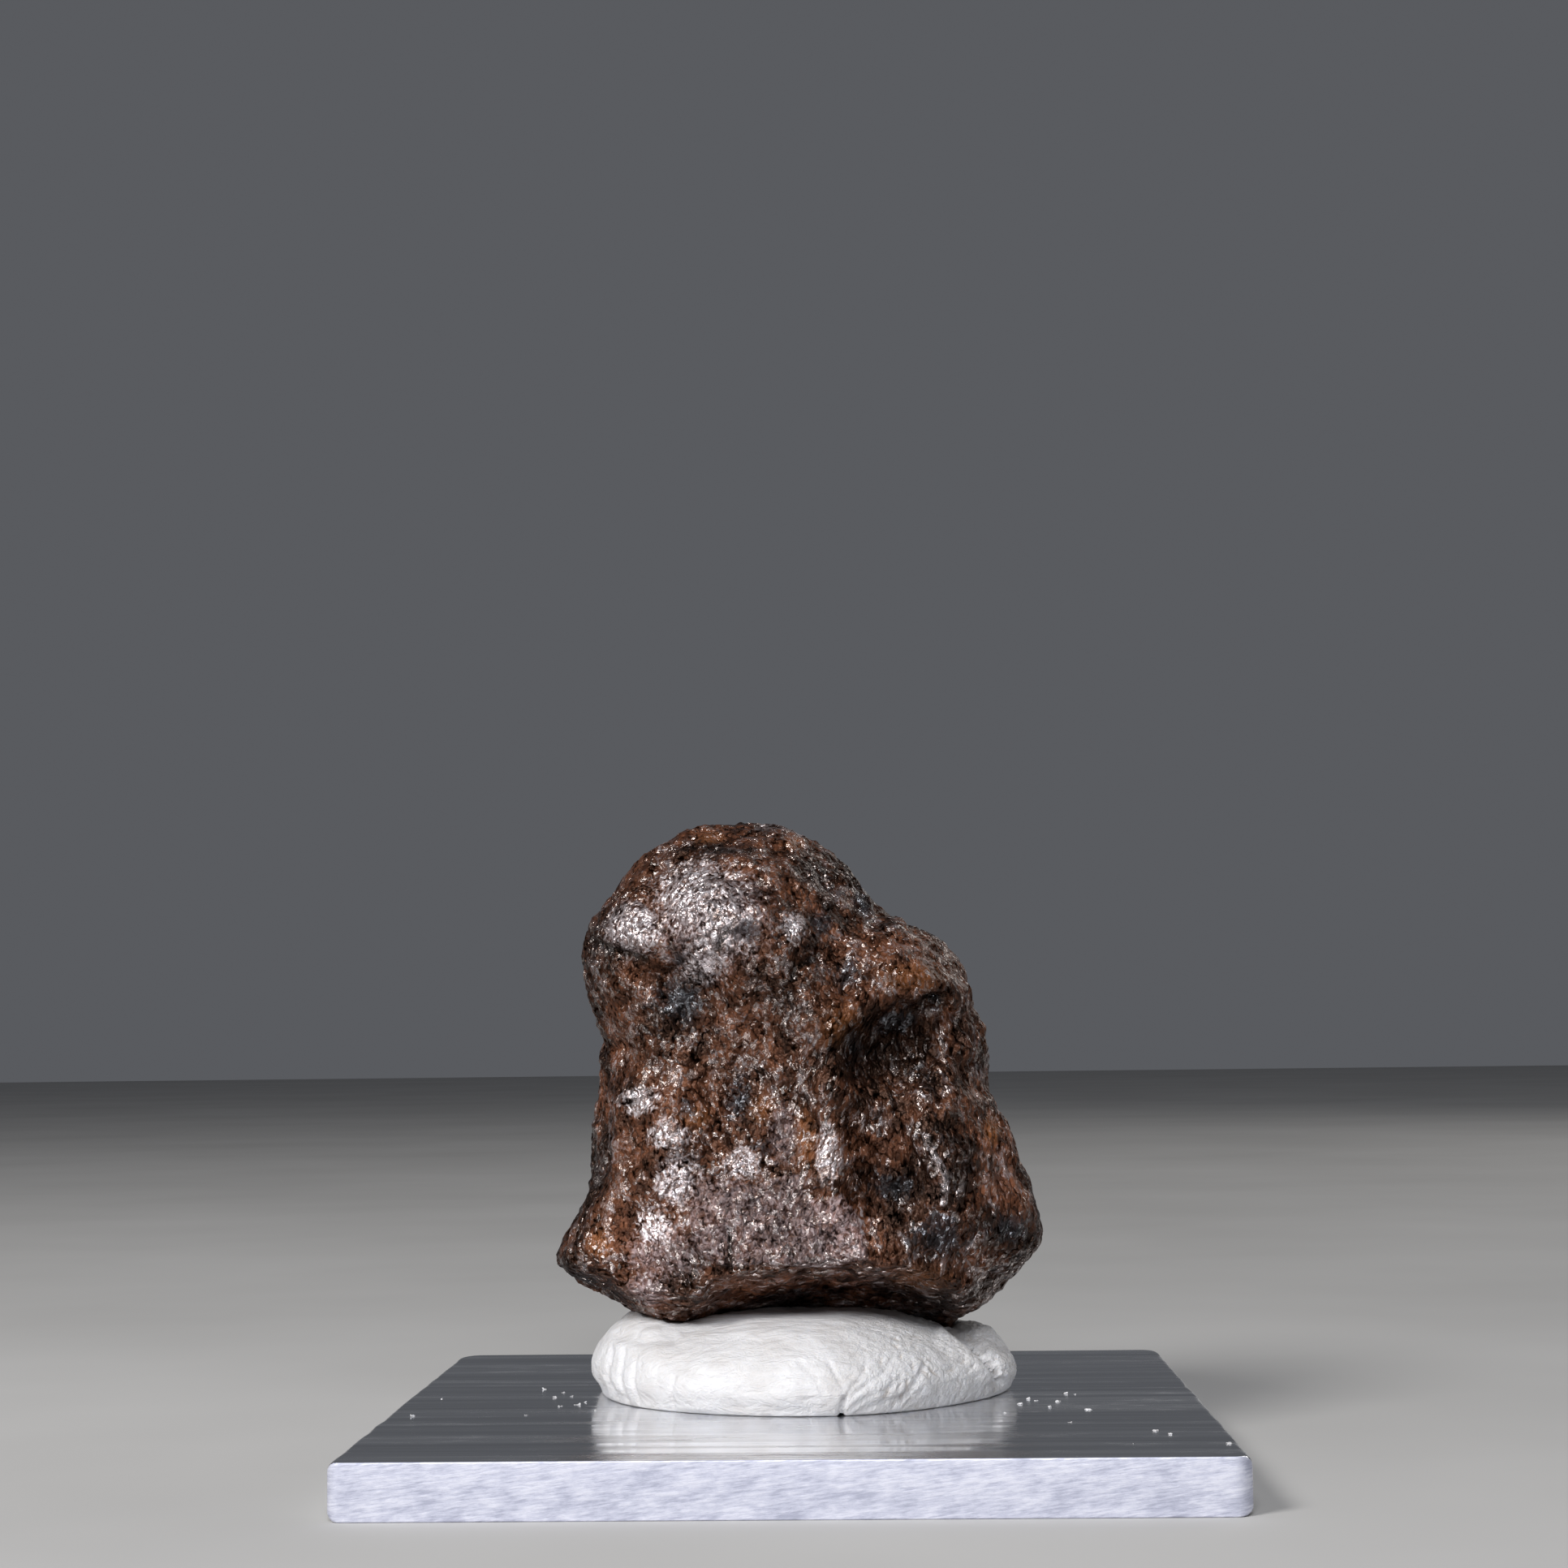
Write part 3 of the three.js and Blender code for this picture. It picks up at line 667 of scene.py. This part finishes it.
    # Painted light and shade of the front's lighter and darker fields, partly the crust's own tone.
    depth = calc(tree, "MULTIPLY", depth, own("tone_and_painted_light"))
    colour = vector(tree, "SCALE", colour, scale=depth)
    tree.links.new(colour, surface.inputs["Base Color"])
    # Metal in the bare sheen, and dark metal in the pits, which deepens their painted shade.
    metal = calc(tree, "MAXIMUM", calc(tree, "MULTIPLY", bare_metal_and_highlight, 0.85), pit)
    tree.links.new(metal, surface.inputs["Metallic"])

    # Gloss: white and sharp on the lively grains, warm and dull on the rest.
    lively = calc(tree, "MAXIMUM", lively, calc(tree, "MULTIPLY", sheen_and_painted_highlight, 0.7))
    dull = spread(tree, crest, 0.1, 0.5, 0.4, 0.0)
    dull = calc(tree, "ADD", spread(tree, lively, 0.0, 1.0, 0.34, 0.09), dull)
    tree.links.new(dull, surface.inputs["Roughness"])
    surface.inputs["IOR"].default_value = RUST_IOR
    glint = tint(tree, lively, STONE_COLOURS["dull glint"], STONE_COLOURS["bright glint"])
    glint = tint(tree, soot, glint, STONE_COLOURS["soot glint"])
    tree.links.new(glint, surface.inputs["Specular Tint"])
    shine = spread(tree, lively, 0.0, 1.0, 0.14, 1.0)
    shine = calc(tree, "MULTIPLY", shine, spread(tree, soot, 0.0, 1.0, 1.0, 0.8))
    shine = calc(tree, "MULTIPLY", shine, spread(tree, crest, 0.1, 0.65, 0.25, 1.0))
    # The painted light and shade also raises or lowers the gloss.
    shine = calc(tree, "MULTIPLY", shine, spread(tree, own("tone_and_painted_light"), 0.2, 1.0, 0.35, 1.0))
    tree.links.new(shine, surface.inputs["Specular IOR Level"])
    bumped(tree, surface, skin, 1.0, STONE_SKIN["height"])
    return material


rust_finish = rusted_iron()
stone_mesh = merged_copy("meteorite")
stone_lie(stone_mesh)
stone_mesh = made_by(stone_relief(), stone_mesh, {**STONE_RELIEF, "Finish": rust_finish})
stone_marks(stone_mesh)
finished("stone", stone_mesh, [rust_finish], "root", "meteorite")

# Putty pad
# A ball of white mounting putty, kneaded, folded and pressed flat under the stone. The right side
# is drawn into fine wrinkles, the left end is a rolled lobe, and a seam opens at the front foot.
PUTTY_VOXEL = 0.17
PUTTY_RELIEF = {
    "Roll Size": 4.2,
    "Roll Height": 0.5,
    "Wrinkle Size": 0.55,
    "Wrinkle Height": 0.32,
    "Wrinkle Start": 0.5,
    "Wrinkle Full": 6.5,
}
PUTTY_LEAN = 35
PUTTY_FOOT = (3.25, 3.6)
PUTTY_FRONT_FACING = (-0.5, 0.1)
PUTTY_FRONT_DEPTH = (5, 2)
PUTTY_SMOOTHINGS = 8
PUTTY_TOUCH = 0.9
PUTTY_GRIP = 0.24
PUTTY_COLOURS = [(0.35, (0.57, 0.555, 0.55)), (0.55, (0.63, 0.625, 0.63)), (0.7, (0.67, 0.665, 0.675))]
# The painted shade in the troughs of the wrinkles.
PUTTY_CREASE_SHADE = (0.56, 0.5, 0.44)
PUTTY_LIGHT_DEPTH = (0.9, 0.7, 0.5)
PUTTY_SKIN_HEIGHT = 0.2
PUTTY_WAVES = {
    "mottle": (2.4, 2.4, 2.4),
    "fine": (0.24, 0.3, 0.5),
    "knead": (2.2, 1.2, 0.9),
    "pores": (0.5, 0.5, 0.4),
}
# Seams and folds of the front: a line of [x, z], its half-width and its height.
PUTTY_LINES = {
    "left crease": ([[-7.4, 5.4], [-7.6, 4.5], [-7.5, 3.6]], 0.18, -0.14),
    "first roll": ([[-11.4, 6.2], [-11.9, 4.8], [-11.3, 3.5]], 0.26, -0.2),
    "second roll": ([[-10.6, 6.3], [-11.0, 4.8], [-10.5, 3.5]], 0.24, -0.17),
    "third roll": ([[-9.8, 6.1], [-10.1, 4.9], [-9.7, 3.6]], 0.22, -0.13),
    "left roll": ([[-13.2, 5.8], [-12.2, 6.8], [-10.6, 7.2], [-9.2, 7.2]], 2.4, 0.5),
    "lobe fold": ([[-11.0, 6.9], [-9.4, 6.8], [-7.6, 7.2]], 0.4, -0.22),
    "notch": ([[2.7, 3.1], [2.75, 3.6], [2.95, 4.2]], 0.22, -0.24),
    "right seam": ([[2.95, 4.2], [3.3, 4.9], [3.9, 5.4], [4.3, 6.3]], 0.17, -0.14),
    "left seam": ([[2.8, 4.0], [2.9, 4.8], [2.5, 5.5], [2.0, 6.4]], 0.17, -0.1),
    "middle seam": ([[1.9, 3.9], [1.6, 4.8], [1.1, 5.7], [0.2, 6.4]], 0.22, -0.07),
    "first ray": ([[3.2, 3.6], [4.2, 4.3], [5.4, 4.7], [6.4, 5.4]], 0.19, -0.12),
    "second ray": ([[3.6, 3.4], [4.8, 3.8], [6.1, 4.2], [7.6, 4.4]], 0.19, -0.1),
    "third ray": ([[3.4, 4.4], [4.2, 5.1], [5.2, 5.6], [5.9, 6.5]], 0.19, -0.12),
    "pinch": ([[6.3, 4.0], [7.2, 5.0], [7.8, 6.0]], 0.24, -0.16),
    "flap edge": ([[9.4, 7.4], [10.9, 6.5], [12.2, 5.2], [12.6, 4.2]], 0.6, -0.75),
    "flap lip": ([[9.0, 7.0], [10.4, 6.0], [11.6, 4.7]], 0.6, 0.35),
}


def putty_folds(mesh):
    """Presses the seams into the front of the pad and raises its folds."""
    places = read(mesh, "vertices", "co", 3) / MM
    normals = read(mesh, "vertex_normals", "vector", 3)
    front = smooth_step(-normals[:, 1], *PUTTY_FRONT_FACING)
    front *= smooth_step(places[:, 1], *PUTTY_FRONT_DEPTH)
    plane = places[:, [0, 2]]
    rise = np.zeros(len(plane))
    for line, width, height in PUTTY_LINES.values():
        rise += height * front * smooth_step(line_distance(plane, line), width, 0)
    places += normals * rise[:, None]
    mesh.vertices.foreach_set("co", (places * MM).astype(np.float32).ravel())
    mesh.update()


def putty_relief():
    """Raises the pad's rolls and the wrinkles of its right side along its normals."""
    tree, given, result = new_tree("putty_relief", {**PUTTY_RELIEF, "Finish": None})
    place = add(tree, "GeometryNodeInputPosition").outputs[0]
    place = vector(tree, "SCALE", place, scale=1 / MM)
    parts = add(tree, "ShaderNodeSeparateXYZ", {0: place}).outputs
    inputs = {"Vector": place, "Scale": calc(tree, "DIVIDE", 1.0, given["Roll Size"]), "Detail": 2.0}
    roll = add(tree, "ShaderNodeTexNoise", inputs).outputs
    stray = vector(tree, "MULTIPLY_ADD", roll["Color"], (5.0, 5.0, 5.0), place)
    inputs = {"Vector": stray, "Angle": math.radians(-PUTTY_LEAN)}
    leaning = add(tree, "ShaderNodeVectorRotate", inputs, rotation_type="Y_AXIS").outputs[0]
    leaning = vector(tree, "MULTIPLY", leaning, (1.0, 0.8, 0.42))
    scale = calc(tree, "DIVIDE", 1.0, given["Wrinkle Size"])
    inputs = {"Vector": leaning, "Scale": scale, "Detail": 2.0}
    wrinkle = add(tree, "ShaderNodeTexNoise", inputs).outputs[0]
    wrinkle = calc(tree, "ABSOLUTE", calc(tree, "SUBTRACT", wrinkle, 0.5))
    wrinkle = calc(tree, "SUBTRACT", 0.15, calc(tree, "MULTIPLY", wrinkle, 2.0))
    drawn = spread(tree, parts["X"], given["Wrinkle Start"], given["Wrinkle Full"], 0.14, 1.0)
    free = spread(tree, parts["Z"], *PUTTY_FOOT)
    wrinkle = calc(tree, "MULTIPLY", wrinkle, drawn)
    height = calc(tree, "MULTIPLY", calc(tree, "SUBTRACT", roll[0], 0.5), given["Roll Height"])
    height = calc(tree, "MULTIPLY_ADD", wrinkle, given["Wrinkle Height"], height)
    height = calc(tree, "MULTIPLY", calc(tree, "MULTIPLY", height, free), MM)
    normal = add(tree, "GeometryNodeInputNormal").outputs[0]
    offset = vector(tree, "SCALE", normal, scale=height)
    inputs = {"Geometry": given["Geometry"], "Name": "crease", "Value": wrinkle}
    kept = add(tree, "GeometryNodeStoreNamedAttribute", inputs, data_type="FLOAT", domain="POINT")
    inputs = {"Geometry": kept.outputs[0], "Name": "drawn", "Value": drawn}
    kept = add(tree, "GeometryNodeStoreNamedAttribute", inputs, data_type="FLOAT", domain="POINT")
    raised = add(tree, "GeometryNodeSetPosition", {"Geometry": kept.outputs[0], "Offset": offset})
    close_tree(tree, raised.outputs[0], given, result)
    return tree


def remeshed(mesh, size):
    """A mesh rebuilt from even squares and smoothed."""
    carrier = bpy.data.objects.new("remesh", mesh)
    bpy.context.scene.collection.objects.link(carrier)
    modifier = carrier.modifiers.new("remesh", "REMESH")
    modifier.mode = "VOXEL"
    modifier.voxel_size = size
    modifier = carrier.modifiers.new("smooth", "SMOOTH")
    modifier.factor = 0.5
    modifier.iterations = PUTTY_SMOOTHINGS
    graph = bpy.context.evaluated_depsgraph_get()
    result = bpy.data.meshes.new_from_object(carrier.evaluated_get(graph))
    bpy.data.objects.remove(carrier)
    return result


def press_against(mesh, stone):
    """Draws the putty's skin towards the stone where it is close to it."""
    tree = BVHTree.FromPolygons([v.co for v in stone.vertices], [p.vertices for p in stone.polygons])
    for vertex in mesh.vertices:
        spot, _, _, distance = tree.find_nearest(vertex.co, PUTTY_TOUCH * MM)
        if spot is not None:
            share = PUTTY_GRIP * MM * (1 - distance / (PUTTY_TOUCH * MM))
            vertex.co += (spot - vertex.co).normalized() * min(share, distance)


def white_putty():
    material, tree, surface = new_material("white_putty")
    mottle = grain(tree, PUTTY_WAVES["mottle"], 4, 0.6)
    crease = add(tree, "ShaderNodeAttribute", attribute_name="crease").outputs["Fac"]
    colour = ramp(tree, mottle, PUTTY_COLOURS)
    # Painted shade: a darker, warmer colour in the troughs of the wrinkles.
    colour = tint(tree, spread(tree, crease, -0.05, -0.35, 0.0, 0.6), colour, PUTTY_CREASE_SHADE)
    tree.links.new(colour, surface.inputs["Base Color"])
    tree.links.new(spread(tree, mottle, 0.3, 0.7, 0.62, 0.45), surface.inputs["Roughness"])
    surface.inputs["Subsurface Weight"].default_value = 0.12
    surface.inputs["Subsurface Radius"].default_value = [depth * MM for depth in PUTTY_LIGHT_DEPTH]
    surface.inputs["Subsurface Scale"].default_value = 1.0
    fine = grain(tree, PUTTY_WAVES["fine"], 4, 0.65, 0.8, (0, PUTTY_LEAN, 0))
    drawn = add(tree, "ShaderNodeAttribute", attribute_name="drawn").outputs["Fac"]
    fine = calc(tree, "MULTIPLY", fine, drawn)
    knead = grain(tree, PUTTY_WAVES["knead"], 4, 0.6, 0.5)
    fine = calc(tree, "MULTIPLY_ADD", knead, 1.5, fine)
    pores = grain(tree, PUTTY_WAVES["pores"], 3, 0.6, 0.3)
    fine = calc(tree, "MULTIPLY_ADD", pores, 0.35, fine)
    bumped(tree, surface, fine, 0.9, PUTTY_SKIN_HEIGHT)
    return material


putty_finish = white_putty()
pad_mesh = remeshed(merged_copy("putty_pad"), PUTTY_VOXEL * MM)
press_against(pad_mesh, stone_mesh)
pad_mesh = made_by(putty_relief(), pad_mesh, {**PUTTY_RELIEF, "Finish": putty_finish})
putty_folds(pad_mesh)
finished("pad", pad_mesh, [putty_finish], "root", "putty_pad")

# Putty crumbs
# Small shreds of putty that fell on the plate beside the pad: a cluster at the left, single ones at
# the right. They lie loose on the metal.
CRUMB_SPOTS = [
    (-16.6, 5.4), (-15.5, 1.3), (-15.2, 3.7), (-14.5, 1.7), (-13.7, -2.2), (-13.3, -1.1), (-12.3, -4.9),
    (-14.7, -2.9), (-22.7, 1.0), (-23.2, -6.8), (-16.3, -6.8), (13.6, -3.4), (14.3, -1.1), (14.7, -1.9),
    (15.4, -4.9), (16.0, -2.4), (16.7, 1.4), (17.3, 1.0), (17.6, -6.2), (16.1, -11.6), (12.5, -7.3),
    (20.7, -15.2), (19.0, -20.1), (21.4, -16.5), (24.2, -20.3),
]
CRUMB_LIFT = 0.005
CRUMB_RELIEF = {"Crumb Size": 0.115, "Least Size": 0.4, "Length": 2.2, "Seed": 7}


def crumbs():
    """A ragged lump of its own size and turn at each spot."""
    tree, given, result = new_tree("crumbs", {**CRUMB_RELIEF, "Finish": None})
    ball = add(tree, "GeometryNodeMeshIcoSphere", {"Radius": given["Crumb Size"], "Subdivisions": 3})
    inputs = {2: given["Least Size"], 3: 1.0, "Seed": given["Seed"]}
    size = add(tree, "FunctionNodeRandomValue", inputs, data_type="FLOAT").outputs[1]
    shred = add(tree, "ShaderNodeCombineXYZ", {"X": given["Length"], "Y": 1.0, "Z": 0.7}).outputs[0]
    size = vector(tree, "SCALE", shred, scale=size)
    inputs = {1: (0.5, 0.5, 3.1), "Seed": given["Seed"]}
    turn = add(tree, "FunctionNodeRandomValue", inputs, data_type="FLOAT_VECTOR").outputs[0]
    spots = add(tree, "GeometryNodeMeshToPoints", {"Mesh": given["Geometry"]})
    inputs = {"Points": spots.outputs[0], "Instance": ball.outputs["Mesh"]}
    inputs |= {"Rotation": turn, "Scale": size}
    placed = add(tree, "GeometryNodeInstanceOnPoints", inputs)
    real = add(tree, "GeometryNodeRealizeInstances", {"Geometry": placed.outputs[0]})
    where = add(tree, "GeometryNodeInputPosition").outputs[0]
    inputs = {"Vector": where, "Scale": 5.0, "Detail": 2.0}
    lumps = add(tree, "ShaderNodeTexNoise", inputs).outputs["Color"]
    lumps = vector(tree, "SUBTRACT", lumps, (0.5, 0.5, 0.5))
    lumps = vector(tree, "MULTIPLY", lumps, (0.4, 0.4, 0.3))
    ragged = add(tree, "GeometryNodeSetPosition", {"Geometry": real.outputs[0], "Offset": lumps})
    metres = add(tree, "GeometryNodeTransform", {"Geometry": ragged.outputs[0], "Scale": (MM, MM, MM)})
    close_tree(tree, metres.outputs[0], given, result)
    return tree


spots = bpy.data.meshes.new("crumb_spots")
plate_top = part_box("base_plate")[1][2] / MM
spots.from_pydata([(x, y, plate_top) for x, y in CRUMB_SPOTS], [], [])
crumb_mesh = made_by(crumbs(), spots, {**CRUMB_RELIEF, "Finish": putty_finish})
for vertex in crumb_mesh.vertices:
    vertex.co.z = max(vertex.co.z, (plate_top + CRUMB_LIFT) * MM)
finished("crumbs", crumb_mesh, [putty_finish], "root")

# Studio
# A plain pale floor, soft lamps at the upper left, the front and the back, and the camera that sees
# the stone as it was photographed: level with its middle and a little to its right.
FLOOR_SIDE = 3.0
FLOOR_WAVES = (60, 60, 60)
FLOOR_COLOURS = [(0.3, (0.42, 0.415, 0.405)), (0.7, (0.47, 0.465, 0.455))]
WORLD_COLOUR = (0.1, 0.104, 0.114, 1)


def pale_floor():
    material, tree, surface = new_material("pale_floor")
    clouds = grain(tree, FLOOR_WAVES, 3)
    tree.links.new(ramp(tree, clouds, FLOOR_COLOURS), surface.inputs["Base Color"])
    surface.inputs["Roughness"].default_value = 0.95
    surface.inputs["Specular IOR Level"].default_value = 0.2
    return material


def floor_mesh():
    shape = bmesh.new()
    bmesh.ops.create_grid(shape, x_segments=8, y_segments=8, size=FLOOR_SIDE / 2)
    mesh = bpy.data.meshes.new("floor")
    shape.to_mesh(mesh)
    shape.free()
    mesh.materials.append(pale_floor())
    return mesh


floor = bpy.data.objects.new("floor", floor_mesh())
bpy.context.scene.collection.objects.link(floor)

STUDIO_LIGHTS = {
    "window": ((-0.29, -0.30, 0.34), (0.15, 0.15), 2.2, (1.0, 0.985, 0.97)),
    "front": ((0.0, -0.48, 0.38), (0.24, 0.16), 2.2, (0.95, 0.96, 1.0)),
    "back": ((0.35, 0.4, 0.3), (0.3, 0.3), 0.55, (1.0, 0.97, 0.93)),
}
LIGHT_AIM = Vector((0, 0, 0.02))
for name, (place, size, power, colour) in STUDIO_LIGHTS.items():
    light = bpy.data.lights.new(name, "AREA")
    light.shape = "RECTANGLE"
    light.size, light.size_y = size
    light.energy = power
    light.color = colour
    lamp = bpy.data.objects.new(name, light)
    lamp.location = place
    lamp.rotation_euler = (LIGHT_AIM - Vector(place)).to_track_quat("-Z", "Y").to_euler()
    bpy.context.scene.collection.objects.link(lamp)

world = bpy.data.worlds.new("studio")
world.use_nodes = True
world.node_tree.nodes["Background"].inputs["Color"].default_value = WORLD_COLOUR
bpy.context.scene.world = world
bpy.context.scene.view_settings.view_transform = "Standard"

CAMERA_PLACE = Vector((4.76, -177.47, 26.2)) * MM
CAMERA_PITCH, CAMERA_YAW, CAMERA_ROLL = (math.radians(a) for a in (5.034, -1.703, -0.657))
FOCAL_PIXELS = 3439.9
IMAGE_PIXELS = 1932
SENSOR = 36.0
forward = Vector((math.sin(CAMERA_YAW), math.cos(CAMERA_YAW), 0))
ahead = forward * math.cos(CAMERA_PITCH) + Vector((0, 0, math.sin(CAMERA_PITCH)))
level = Vector((math.cos(CAMERA_YAW), -math.sin(CAMERA_YAW), 0))
above = level.cross(ahead)
right = level * math.cos(CAMERA_ROLL) + above * math.sin(CAMERA_ROLL)
up = above * math.cos(CAMERA_ROLL) - level * math.sin(CAMERA_ROLL)
lens = bpy.data.cameras.new("camera")
lens.sensor_width = SENSOR
lens.lens = SENSOR * FOCAL_PIXELS / IMAGE_PIXELS
lens.clip_start = 0.01
camera = bpy.data.objects.new("camera", lens)
turned = Matrix((right, up, -ahead)).transposed().to_4x4()
camera.matrix_world = Matrix.Translation(CAMERA_PLACE) @ turned
bpy.context.scene.collection.objects.link(camera)
bpy.context.scene.camera = camera
